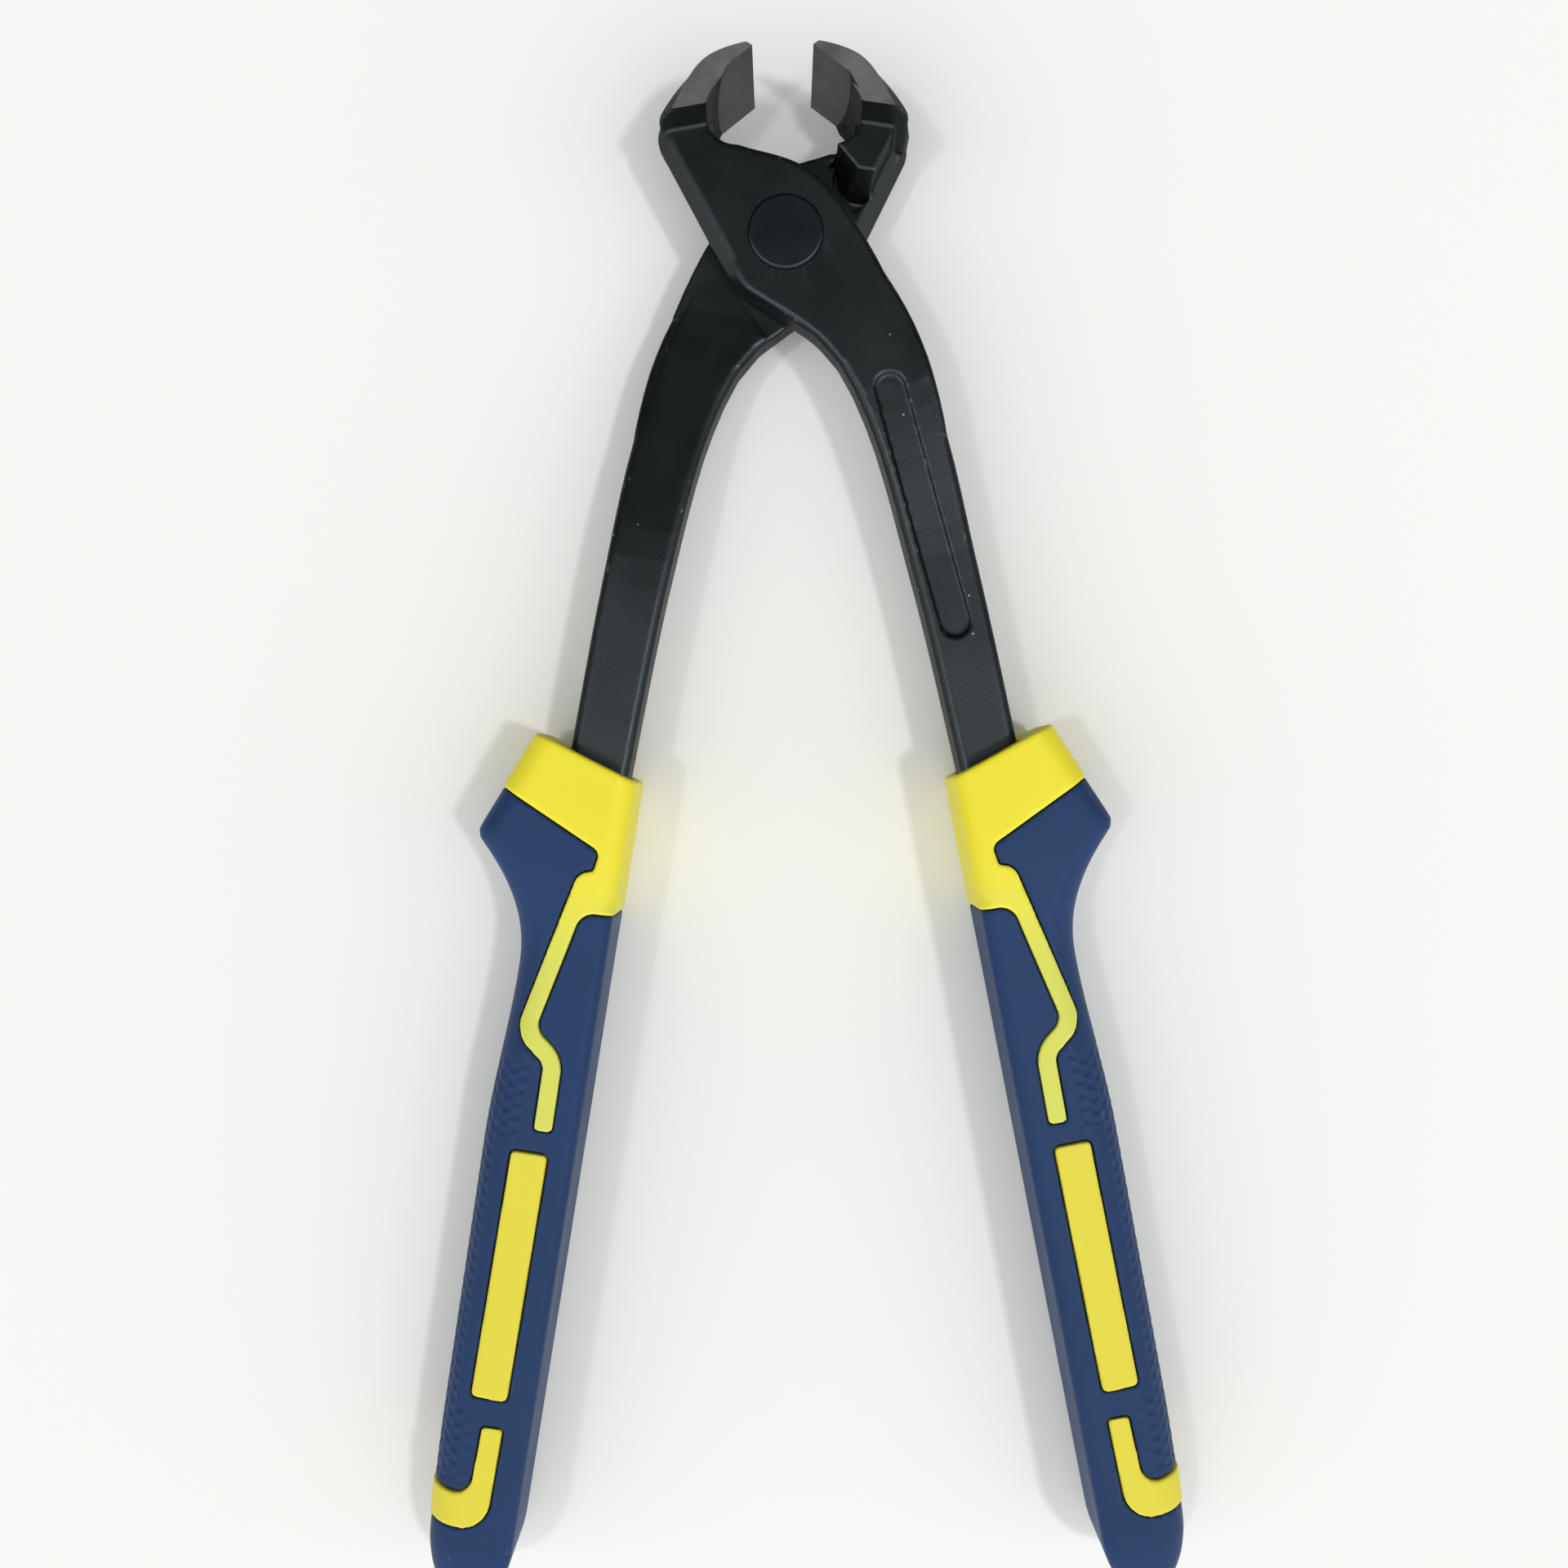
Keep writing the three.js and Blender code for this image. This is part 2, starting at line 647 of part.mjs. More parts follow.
function gripCore() {
  const shown = gripBody(inlayRise).intersect(inlays(0));
  const seat = spar(armStations(0, -midDrop, -armEnd - fitGap), armRound, armRound, fitGap);
  return shown.add(sleeve()).subtract(seat).subtract(tang(fitGap));
}

function gripSkin() {
  return gripBody().subtract(inlays(fitGap)).subtract(sleeve(fitGap));
}

// Assembly

const blackSteel = new THREE.MeshStandardMaterial({ color: 0x23282b, roughness: 0.45, metalness: 0.8 });
const rivetSteel = new THREE.MeshStandardMaterial({ color: 0x1d2126, roughness: 0.5, metalness: 0.8 });
const yellowPlastic = new THREE.MeshStandardMaterial({ color: 0xeadf3d, roughness: 0.45, metalness: 0 });
const blueRubber = new THREE.MeshStandardMaterial({ color: 0x2c4374, roughness: 0.6, metalness: 0 });

const leverShape = geometryOf(lever());
const coreShape = geometryOf(gripCore());
const skinShape = geometryOf(gripSkin());

function piece(name, geometry, material) {
  const mesh = new THREE.Mesh(geometry, material);
  mesh.name = name;
  return mesh;
}

// One lever with its grip, opened to the rest angle.
function leverWithGrip(leverName, side) {
  const group = new THREE.Group();
  group.add(piece(leverName, leverShape, blackSteel));
  group.add(piece(`${side}_grip_core`, coreShape, yellowPlastic));
  group.add(piece(`${side}_grip_skin`, skinShape, blueRubber));
  group.rotation.z = deg(restAngle);
  return group;
}

const front = leverWithGrip("front_lever", "right");
const rear = new THREE.Group();
rear.add(leverWithGrip("rear_lever", "left"));
rear.rotation.y = Math.PI;

const nippers = new THREE.Group();
nippers.add(front, rear, piece("pivot_rivet", geometryOf(rivet()), rivetSteel));

// The origin is under the middle of the tool, on the surface that it lies on.
const box = new THREE.Box3().setFromObject(nippers, true);
const middle = box.getCenter(new THREE.Vector3());
nippers.position.set(-middle.x, -middle.y, -box.min.z);

const part = new THREE.Group();
part.add(nippers);
export default part;
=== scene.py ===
# Concreters nippers: two lapped black forgings on a rivet, with two-shot grips, lying on a pale floor.
# Shapes are made in millimetres with the nippers closed, the pivot at the origin and the lever's jaw on -X,
# then placed once for the front lever and once, turned over, for the rear lever.
import json
import math

import bmesh
import bpy
from mathutils import Matrix, Vector


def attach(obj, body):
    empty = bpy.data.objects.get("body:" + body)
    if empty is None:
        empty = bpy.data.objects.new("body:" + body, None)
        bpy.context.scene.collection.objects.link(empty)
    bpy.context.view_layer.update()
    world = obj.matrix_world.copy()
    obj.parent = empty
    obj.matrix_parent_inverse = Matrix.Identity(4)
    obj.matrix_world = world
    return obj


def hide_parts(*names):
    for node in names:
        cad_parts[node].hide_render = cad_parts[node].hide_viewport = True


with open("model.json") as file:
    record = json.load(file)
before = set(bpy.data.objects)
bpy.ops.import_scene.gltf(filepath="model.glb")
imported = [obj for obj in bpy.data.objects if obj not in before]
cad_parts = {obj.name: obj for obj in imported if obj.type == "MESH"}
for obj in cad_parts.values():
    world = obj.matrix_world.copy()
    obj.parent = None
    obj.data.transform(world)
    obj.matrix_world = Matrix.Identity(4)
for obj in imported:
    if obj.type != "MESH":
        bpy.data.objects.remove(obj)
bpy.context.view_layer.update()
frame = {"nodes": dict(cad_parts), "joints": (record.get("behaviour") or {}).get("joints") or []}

# Placing
MM = 0.001
REST_TURN = math.radians(9.4)
PIVOT = Vector(frame["joints"][0]["pos_m"])
LEVER_TURN = Matrix.Rotation(REST_TURN, 4, "Z") @ Matrix.Scale(MM, 4)
FRONT = Matrix.Translation(PIVOT) @ LEVER_TURN
REAR = Matrix.Translation(PIVOT) @ Matrix.Rotation(math.pi, 4, "Y") @ LEVER_TURN

# Jaw
JAW_HALF = 11.0
GRIND_STOCK = 1.6
CUTTING_EDGE = Vector((-0.15, 27.9, 0.0))
THROAT_CENTRE = Vector((-4.3, 20.1, 0.0))
THROAT_RADIUS = 4.9
TIP_CHAMFER = Vector((0.685, 0.728, 0.0))
CROWN_CENTRE = Vector((-1.0, 8.7, 0.0))
CROWN_RADIUS = 20.0
CROWN_CORE = 16.9
CORE_DRAW = 2.3
CORE_ARC = (112, 128)
CROWN_ARC = (100, 140.7)
EDGE_ARC = (106, 137)
EDGE_ROUND = 2.2
HEEL_CENTRE = Vector((-13.0, 18.5, 0.0))
HEEL_RADIUS = 4.5
HEEL_DRAW = 0.5
HEEL_END = 190
FOOT_HEIGHT = 20.4
FOOT_SLOPE = 0.234
BEVEL_DEPTH = 0.1
BEVEL_RUN = 7.6
BEVEL_SPREAD = 22.0
BEVEL_FLARE = 1.36
LIP_HEIGHT = 1.2
BEVEL_SHIFT = 4.5

# Bearing land beyond the lap plate, as distance from the pivot and angle
LAND_CORNERS = ((11.2, 92), (15.3, 107), (14.6, 114), (12.7, 120), (12.7, 135), (12.7, 150), (11.2, 150))

# Outside of the arm by the lap plate, as down from the pivot and out from it
SHOULDER = ((6, 13.1), (9, 14.5), (12, 15.75), (15, 16.85), (18, 17.75), (21, 18.45), (24, 19.0),
            (27, 19.35), (30, 19.6), (34, 19.8), (39, 19.7))
SHOULDER_WALL = 3.2
SHOULDER_ROUNDS = (0.3, 0.8)
SHOULDER_LIFT = 0.1
ARM_THINNING = 0.95
THINNING_RUN = (24, 46)
CRANK_START = 14
CRANK_RATE = 0.0515
CRANK_POWER = 1.25

# Forging skin
FORGE_VOXEL = 0.22
FORGE_PASSES = 9
FORGE_SHARE = 0.22
FORGE_CREASE = 38
FLAT_BAND = 0.06
SQUARE_ON = 0.99
WELD = 0.002

# Bore in the lap plate
LAP_FACE = 6.3
LAP_PLANE = 0.15
BORE_RADIUS = 4.55
BORE_FILL = 8.0
HEAD_SEAT = 4.9
HEAD_POCKET = 6.1
DRILL_REACH = 20
TURNED_SIDES = 160

# Rivet
RIVET_HEAD = 6.02
RIVET_SHANK = 4.25
RIVET_TOP = 6.8
RIVET_HEIGHT = 1.6
RIVET_EDGE = 0.5
RIVET_SIDES = 128
RIVET_CREASE = 40

# Grip, out from the grip axis and down from the collar's top edge
GRIP_AXIS = 19.2
GRIP_DROP = 88.7
GRIP_LENGTH = 136.8
GRIP_THICKNESS = 17.0
COLLAR_THICKNESS = 18.6
COLLAR_SLANT = 5.5
SLANT_DROP = 11.3
SLANT_FADE = 1.6
COLLAR_RISE = 0.8
COLLAR_REACH = 8.7
GUARD_REACH = 15.6
GUARD_DROP = 13.5
GUARD_SWEEP = 2.2
GUARD_ROUND = 1.0
WAIST_REACH = 6.2
WAIST_DROP = 33.3
PALM_REACH = 7.7
PALM_DROP = 62.0
TAIL_DROP = 104.0
TAIL_REACH = 6.2
INNER_TOP_REACH = 8.4
INNER_END_REACH = 7.0
INNER_ROUND = 1.8
COLLAR_ROUND = 3.2
GUARD_EDGE = 3.8
OUTER_ROUND = 6.0
MOUTH_ROUND = 0.45
BUTT_ROUND = 11.0
BUTT_DRAW = 7.0
BUTT_ARC = 84
BUTT_STATIONS = 12
SIDE_STATIONS = 96
MOUTH_ANGLES = (82, 64, 46, 28, 10)
THICKNESS_DRAW = 0.8
INLAY_RISE = 0.22
GROOVE = 0.21

# Moulded skin
MOULD_VOXEL = 0.3
MOULD_PASSES = 3
FIRST_SHARE = 0.3
SECOND_SHARE = 0.4
MOULD_CREASE = 60

# First-shot pattern on the grip
COLLAR_LINE = (11.2, 5.9)
NOTCH_REACH = -4.7
NOTCH_TOP = 13.5
NOTCH_FOOT = 16.8
SKIRT_DROP = 23.4
STRIPE_WIDTH = 2.9
STRIPE = ((-3.2, 17.3), (2.9, 43.3), (-2.2, 47.3), (-2.2, 58.6))
PAD = ((-0.65, 62.3), (0.0, 101.8))
PAD_WIDTH = 5.8
HOOK_REACH = -1.25
HOOK_TOP = 106.3
HOOK_WIDTH = 3.3
HOOK_BAND = (117.2, 122.6)
HOOK_LEAN = 0.4
BLOCK_HALF = 30

# Dimples on the outside of the grip, and the stretches beside stripe, pad and hook with where they begin
DIMPLE_PITCH = 2.1
DIMPLE_ROW = 1.85
DIMPLE_RADIUS = 1.0
DIMPLE_DEPTH = 0.24
DIMPLE_LEVEL = 0.65
DIMPLE_LEAN = 0.6
DIMPLE_STRETCHES = ((48.3, 60.2, 0.9), (60.2, 103.6, 5.2), (103.6, 116.0, 1.7))

# Sleeve and tang inside the grip
ARM_END = 97.0
COLLAR_ARM_DROP = 88.0
TANG_LENGTH = 117.0
TANG_CENTRE = 17.6
TANG_WIDTH = 7.0
TANG_THICKNESS = 6.0
SLEEVE_WALL = 1.9
SLEEVE_ROUND = 1.5
SLEEVE_LAP = 2
SLEEVE_END = 213.5
BORE_TOP = 70
BORE_GAP = 0.25

# Along the nippers in metres, where the yellow turns to the stripe's tone and then to the pad's
STRIPE_FADE = (-0.004, -0.024)
PAD_FADE = (-0.046, -0.052)

# Light and view, in metres, with the sky fading from over the grips to past the jaws
LAMP_DISTANCE = 2
LAMP_SIZE = 0.16
SKY_FADE = (-0.08, 0.3)
SKY_STRENGTH = (1.34, 0.02)
VIEWPOINT = (-0.0017, 0.0074, 0.256)
VIEW_ROLL = math.radians(-0.94)
VIEW_LENS = 34.3125


def lerp(low, high, share):
    return low + (high - low) * share


def smoothstep(value, low, high):
    share = min(max((value - low) / (high - low), 0.0), 1.0)
    return share * share * (3 - 2 * share)


def polar(centre, radius, angle):
    return centre + Matrix.Rotation(math.radians(angle), 3, "Z") @ Vector((radius, 0, 0))


# Workshop


def object_of(bm, name):
    mesh = bpy.data.meshes.new(name)
    bm.to_mesh(mesh)
    bm.free()
    piece = bpy.data.objects.new(name, mesh)
    bpy.context.scene.collection.objects.link(piece)
    return piece


def settle(piece):
    """Works a piece's modifiers into its mesh."""
    depsgraph = bpy.context.evaluated_depsgraph_get()
    mesh = bpy.data.meshes.new_from_object(piece.evaluated_get(depsgraph))
    piece.modifiers.clear()
    piece.data = mesh


def combine(piece, tool, operation, overlaps=False):
    """Joins, cuts or keeps what a piece shares with a tool, and uses the tool up."""
    step = piece.modifiers.new("combine", "BOOLEAN")
    step.operation = operation
    step.solver = "EXACT"
    step.use_self = overlaps
    step.object = tool
    settle(piece)
    bpy.data.objects.remove(tool)


def add_to(piece, other):
    """Puts another shape into a piece, for its skin to take in."""
    bm = bmesh.new()
    bm.from_mesh(piece.data)
    bm.from_mesh(other.data)
    bm.to_mesh(piece.data)
    bm.free()
    bpy.data.objects.remove(other)


def soften(piece, voxel, passes):
    """An even skin over the piece with its edges and corners rounded."""
    skin = piece.modifiers.new("skin", "REMESH")
    skin.mode = "VOXEL"
    skin.voxel_size = voxel
    smooth = piece.modifiers.new("smooth", "SMOOTH")
    smooth.factor = 0.5
    smooth.iterations = passes
    settle(piece)


def thin(piece, share):
    """Fewer triangles where the piece is flat."""
    step = piece.modifiers.new("thin", "DECIMATE")
    step.ratio = share
    settle(piece)


def grow(bm, distance):
    """Moves every face of a closed shape outwards."""
    bm.normal_update()
    moves = [(v, v.normal * v.calc_shell_factor() * distance) for v in bm.verts]
    for vert, move in moves:
        vert.co += move


def shade(piece, crease):
    """Smooth shading that keeps creases, and follows the large faces where they meet small ones."""
    for face in piece.data.polygons:
        face.use_smooth = True
    piece.data.set_sharp_from_angle(angle=math.radians(crease))
    step = piece.modifiers.new("even", "WEIGHTED_NORMAL")
    step.keep_sharp = True
    settle(piece)


def place(shape, name, where, body, node, materials):
    """A finished piece from a copy of a shape, in its place on the nippers."""
    mesh = shape.data.copy()
    mesh.name = name
    mesh.transform(where)
    for finish in materials:
        mesh.materials.append(finish)
    piece = bpy.data.objects.new(name, mesh)
    bpy.context.scene.collection.objects.link(piece)
    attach(piece, body)
    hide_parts(node)
    return piece


# Lever


def lever_blank():
    """The lever's plain solid in millimetres, closed."""
    bm = bmesh.new()
    bm.from_mesh(frame["nodes"]["front_lever"].data)
    bmesh.ops.transform(bm, matrix=FRONT.inverted(), verts=bm.verts)
    bmesh.ops.remove_doubles(bm, verts=bm.verts, dist=WELD)
    return bm


def bevel_frame():
    """Along the cutting bevel from its edge, along the jaw, and out of the bevel."""
    sight = THROAT_CENTRE - CUTTING_EDGE
    turn = Matrix.Rotation(-math.asin(THROAT_RADIUS / sight.length), 3, "Z")
    along = (turn @ sight).normalized()
    out = along.cross(Vector((0, 0, -1)))
    axes = Matrix((along, Vector((0, 0, -1)), out)).transposed().to_4x4()
    return Matrix.Translation(CUTTING_EDGE) @ axes


def leave_stock(bm):
    """Lengthens the jaw's ends and edge, for the grinding to take off again."""
    bm.normal_update()
    for side in (1, -1):
        facing = [f for f in bm.faces if f.normal.z * side > SQUARE_ON]
        ends = [f for f in facing if f.calc_center_median().z * side > JAW_HALF - FLAT_BAND]
        raised = bmesh.ops.extrude_face_region(bm, geom=ends)
        verts = [v for v in raised["geom"] if isinstance(v, bmesh.types.BMVert)]
        bmesh.ops.translate(bm, verts=verts, vec=(0, 0, side * GRIND_STOCK))
    along = bevel_frame().to_3x3().col[0]
    edge = [v for v in bm.verts if (v.co - CUTTING_EDGE).xy.length < FLAT_BAND]
    bmesh.ops.translate(bm, verts=edge, vec=-along * GRIND_STOCK)


def crown_block():
    """The round outside of the jaw, kept full until close to the ground ends."""
    bm = bmesh.new()
    full = JAW_HALF - EDGE_ROUND
    stock = JAW_HALF + 0.9 * GRIND_STOCK
    crown = [lerp(*CROWN_ARC, i / 24) for i in range(25)]
    heel = [lerp(CROWN_ARC[1], HEEL_END, i / 8) for i in range(1, 9)]
    loops = []
    for z in (-stock, -JAW_HALF, -full, full, JAW_HALF, stock):
        relief = EDGE_ROUND if abs(z) > full else HEEL_DRAW
        points = [polar(CROWN_CENTRE, CROWN_RADIUS - relief * smoothstep(a, *EDGE_ARC), a)
                  for a in crown]
        points += [polar(HEEL_CENTRE, HEEL_RADIUS - relief, a) for a in heel]
        points += [polar(CROWN_CENTRE, CROWN_CORE - CORE_DRAW * smoothstep(a, *CORE_ARC), a)
                   for a in reversed(crown)]
        loops.append([bm.verts.new((p.x, p.y, z)) for p in points])
    for low, high in zip(loops, loops[1:]):
        for i, vert in enumerate(low):
            bm.faces.new((low[i - 1], vert, high[i], high[i - 1]))
    bm.faces.new(loops[0])
    bm.faces.new(loops[-1])
    for side in (1, -1):
        everything = bm.verts[:] + bm.edges[:] + bm.faces[:]
        bmesh.ops.bisect_plane(bm, geom=everything, plane_co=(0, FOOT_HEIGHT, side * JAW_HALF),
                               plane_no=(0, -1, side * FOOT_SLOPE), clear_outer=True)
        bmesh.ops.holes_fill(bm, edges=[e for e in bm.edges if e.is_boundary], sides=0)
    bmesh.ops.recalc_face_normals(bm, faces=bm.faces)
    return object_of(bm, "crown_block")


def land_block():
    """The bearing face round the pivot, run out to the jaw root and the brow."""
    bm = bmesh.new()
    verts = [bm.verts.new(polar(Vector((0, 0, LAP_PLANE)), *corner)) for corner in LAND_CORNERS]
    raised = bmesh.ops.extrude_face_region(bm, geom=[bm.faces.new(verts)])
    top = [v for v in raised["geom"] if isinstance(v, bmesh.types.BMVert)]
    bmesh.ops.translate(bm, verts=top, vec=(0, 0, LAP_FACE / 2))
    bmesh.ops.recalc_face_normals(bm, faces=bm.faces)
    return object_of(bm, "land_block")


def shoulder_block():
    """The full outside of the arm where it leaves the lap plate."""
    rings = []
    for drop, reach in SHOULDER:
        top = LAP_FACE - ARM_THINNING * smoothstep(drop, *THINNING_RUN)
        bottom = LAP_PLANE + SHOULDER_LIFT - CRANK_RATE * max(0, drop - CRANK_START) ** CRANK_POWER
        outer = Vector((reach, -drop, (top + bottom) / 2))
        inner = outer - Vector((SHOULDER_WALL, 0, 0))
        rings.append((inner, outer, (top - bottom) / 2, *SHOULDER_ROUNDS))
    return skin_over(rings, "shoulder_block")


def turned_disc(radius, bottom, top, name):
    bm = bmesh.new()
    bmesh.ops.create_circle(bm, cap_ends=True, radius=radius, segments=TURNED_SIDES)
    bmesh.ops.translate(bm, verts=bm.verts, vec=(0, 0, bottom))
    raised = bmesh.ops.extrude_face_region(bm, geom=bm.faces[:])
    verts = [v for v in raised["geom"] if isinstance(v, bmesh.types.BMVert)]
    bmesh.ops.translate(bm, verts=verts, vec=(0, 0, top - bottom))
    bmesh.ops.recalc_face_normals(bm, faces=bm.faces)
    return object_of(bm, name)


def face_off(piece):
    """Trues up the flat outer side of the lap plate."""
    near = [v for v in piece.data.vertices if abs(abs(v.co.z) - LAP_FACE) < FLAT_BAND]
    flat = [v for v in near if abs(v.normal.z) > SQUARE_ON]
    for vert in flat:
        vert.co.z = math.copysign(LAP_FACE, vert.co.z)


def drill(piece):
    """The rivet's bore and the pocket for its head."""
    combine(piece, turned_disc(BORE_RADIUS, -DRILL_REACH, DRILL_REACH, "bore_drill"), "DIFFERENCE")
    combine(piece, turned_disc(HEAD_POCKET, HEAD_SEAT, DRILL_REACH, "pocket_drill"), "DIFFERENCE")


def grind(piece):
    """Flat ends and tip on the jaw, and the machined cutting bevel."""
    disc = bmesh.new()
    bmesh.ops.create_circle(disc, cap_ends=True, radius=1.0, segments=128)
    bmesh.ops.scale(disc, vec=(BEVEL_RUN, BEVEL_SPREAD, 1), verts=disc.verts)
    raised = bmesh.ops.extrude_face_region(disc, geom=disc.faces[:])
    verts = [v for v in raised["geom"] if isinstance(v, bmesh.types.BMVert)]
    bmesh.ops.scale(disc, vec=(BEVEL_FLARE, 1, 1), verts=verts)
    bmesh.ops.translate(disc, verts=verts, vec=(0, 0, LIP_HEIGHT))
    bmesh.ops.translate(disc, verts=disc.verts, vec=(0, BEVEL_SHIFT, -BEVEL_DEPTH))
    bmesh.ops.transform(disc, matrix=bevel_frame(), verts=disc.verts)
    bmesh.ops.recalc_face_normals(disc, faces=disc.faces)
    combine(piece, object_of(disc, "bevel_cutter"), "DIFFERENCE")

    bm = bmesh.new()
    bm.from_mesh(piece.data)
    planes = (
        (CUTTING_EDGE, TIP_CHAMFER),
        (Vector((0, 0, JAW_HALF)), Vector((0, 0, 1))),
        (Vector((0, 0, -JAW_HALF)), Vector((0, 0, -1))),
    )
    for through, facing in planes:
        everything = bm.verts[:] + bm.edges[:] + bm.faces[:]
        bmesh.ops.bisect_plane(bm, geom=everything, dist=1e-5, plane_co=through, plane_no=facing,
                               clear_outer=True)
        rim = [e for e in bm.edges if e.is_boundary]
        filled = bmesh.ops.holes_fill(bm, edges=rim, sides=0)["faces"]
        for face in filled:
            face.material_index = 1
    bm.normal_update()
    out = bevel_frame().to_3x3().col[2]
    for face in bm.faces:
        height = (face.calc_center_median() - CUTTING_EDGE).dot(out)
        if face.normal.dot(out) > 0.995 and abs(height + BEVEL_DEPTH) < 0.01:
            face.material_index = 2
    bm.to_mesh(piece.data)
    bm.free()


def lever_forging():
    bm = lever_blank()
    leave_stock(bm)
    piece = object_of(bm, "lever_shape")
    combine(piece, turned_disc(BORE_FILL, LAP_PLANE, LAP_FACE, "bore_fill"), "UNION")
    add_to(piece, crown_block())
    add_to(piece, land_block())
    add_to(piece, shoulder_block())
    soften(piece, FORGE_VOXEL, FORGE_PASSES)
    thin(piece, FORGE_SHARE)
    for face in piece.data.polygons:
        face.material_index = 0
    face_off(piece)
    drill(piece)
    grind(piece)
    shade(piece, FORGE_CREASE)
    return piece


# Rivet


def rivet():
    bm = bmesh.new()
    half = ((0, RIVET_TOP), (RIVET_HEAD, RIVET_TOP), (RIVET_HEAD, RIVET_TOP - RIVET_HEIGHT),
            (RIVET_SHANK, RIVET_TOP - RIVET_HEIGHT))
    profile = half + tuple((x, -z) for x, z in reversed(half))
    verts = [bm.verts.new((x, 0, z)) for x, z in profile]
    edges = [bm.edges.new(pair) for pair in zip(verts, verts[1:])]
    corners = [verts[1], verts[6]]
    bmesh.ops.bevel(bm, geom=corners, offset=RIVET_EDGE, affect="VERTICES", segments=5, profile=0.5,
                    material=-1)
    bmesh.ops.spin(bm, geom=bm.verts[:] + bm.edges[:], cent=(0, 0, 0), axis=(0, 0, 1), angle=2 * math.pi,
                   steps=RIVET_SIDES, use_merge=True)
    bmesh.ops.remove_doubles(bm, verts=bm.verts, dist=1e-4)
    bmesh.ops.recalc_face_normals(bm, faces=bm.faces)
    piece = object_of(bm, "rivet_shape")
    shade(piece, RIVET_CREASE)
    return piece


# Grip


def on_grip(reach, drop):
    return Vector((GRIP_AXIS + reach, -GRIP_DROP - drop, 0))


def outside_reach(drop):
    if drop < GUARD_DROP:
        top = COLLAR_SLANT / 2
        return lerp(COLLAR_REACH, GUARD_REACH, (drop + top) / (GUARD_DROP + top))
    if drop < WAIST_DROP:
        share = (WAIST_DROP - drop) / (WAIST_DROP - GUARD_DROP)
        return lerp(WAIST_REACH, GUARD_REACH, share ** GUARD_SWEEP)
    if drop < TAIL_DROP:
        return lerp(WAIST_REACH, PALM_REACH, smoothstep(drop, WAIST_DROP, PALM_DROP))
    return lerp(PALM_REACH, TAIL_REACH, ((drop - TAIL_DROP) / (GRIP_LENGTH - TAIL_DROP)) ** 2)


def soft_reach(drop):
    """The outside with the tip of the guard rounded."""
    shares = [i / 4 - 1 for i in range(9)]
    return sum(outside_reach(drop + share * GUARD_ROUND) for share in shares) / len(shares)


def inside_reach(drop):
    return -lerp(INNER_TOP_REACH, INNER_END_REACH, drop / GRIP_LENGTH)


def half_thickness(drop):
    return lerp(COLLAR_THICKNESS, GRIP_THICKNESS, smoothstep(drop, GUARD_DROP, WAIST_DROP)) / 2


def oblong_ring(bm, inner, outer, half, inside, outside):
    """The edges of a rounded oblong that stands on the line from inner to outer."""
    up = Vector((0, 0, half))
    corners = [bm.verts.new(p) for p in (inner - up, outer - up, outer + up, inner + up)]
    bm.faces.new(corners)
    limit = min(0.9 * half, 0.45 * (outer - inner).length)
    for verts, radius in (((corners[0], corners[3]), inside), ((corners[1], corners[2]), outside)):
        bmesh.ops.bevel(bm, geom=list(verts), offset=min(radius, limit), affect="VERTICES", segments=8,
                        profile=0.5, material=-1)
    face = next(iter(bm.faces))
    edges = list(face.edges)
    bmesh.ops.delete(bm, geom=[face], context="FACES_ONLY")
    return edges


def skin_over(rings, name):
    """A closed skin over rings, each with its inner and outer point, half thickness and two corner radii."""
    bm = bmesh.new()
    loops = [oblong_ring(bm, *ring) for ring in rings]
    for one, next_one in zip(loops, loops[1:]):
        bmesh.ops.bridge_loops(bm, edges=one + next_one)
    bmesh.ops.holes_fill(bm, edges=[e for e in bm.edges if e.is_boundary], sides=0)
    bmesh.ops.recalc_face_normals(bm, faces=bm.faces)
    return object_of(bm, name)


def grip_body(rise, name):
    def station(drop, drawn):
        slant = max(0.0, 1 - (max(drop, 0) / SLANT_DROP) ** SLANT_FADE)
        lean = slant * COLLAR_SLANT / 2
        inner = on_grip(inside_reach(drop + lean) + drawn - rise, drop + lean)
        outer = on_grip(soft_reach(drop - lean) - drawn + rise, drop - lean)
        inside = lerp(COLLAR_ROUND, INNER_ROUND, smoothstep(drop, SKIRT_DROP - 2, SKIRT_DROP + 1))
        outside = lerp(GUARD_EDGE, OUTER_ROUND, smoothstep(drop, GUARD_DROP, WAIST_DROP))
        return inner, outer, half_thickness(drop) - THICKNESS_DRAW * drawn + rise, inside, outside

    mouth = []
    for angle in map(math.radians, MOUTH_ANGLES):
        mouth.append(station(MOUTH_ROUND * (1 - math.sin(angle)) - COLLAR_RISE - rise,
                             MOUTH_ROUND * (1 - math.cos(angle))))
    butt_top = GRIP_LENGTH - BUTT_ROUND
    sides = [station(lerp(MOUTH_ROUND - COLLAR_RISE, butt_top, i / SIDE_STATIONS), 0)
             for i in range(SIDE_STATIONS + 1)]
    butt = []
    for i in range(1, BUTT_STATIONS + 1):
        angle = math.radians(BUTT_ARC * i / BUTT_STATIONS)
        butt.append(station(butt_top + BUTT_ROUND * math.sin(angle) + rise * math.sin(angle),
                            BUTT_DRAW * (1 - math.cos(angle))))
    return skin_over(mouth + sides + butt, name)


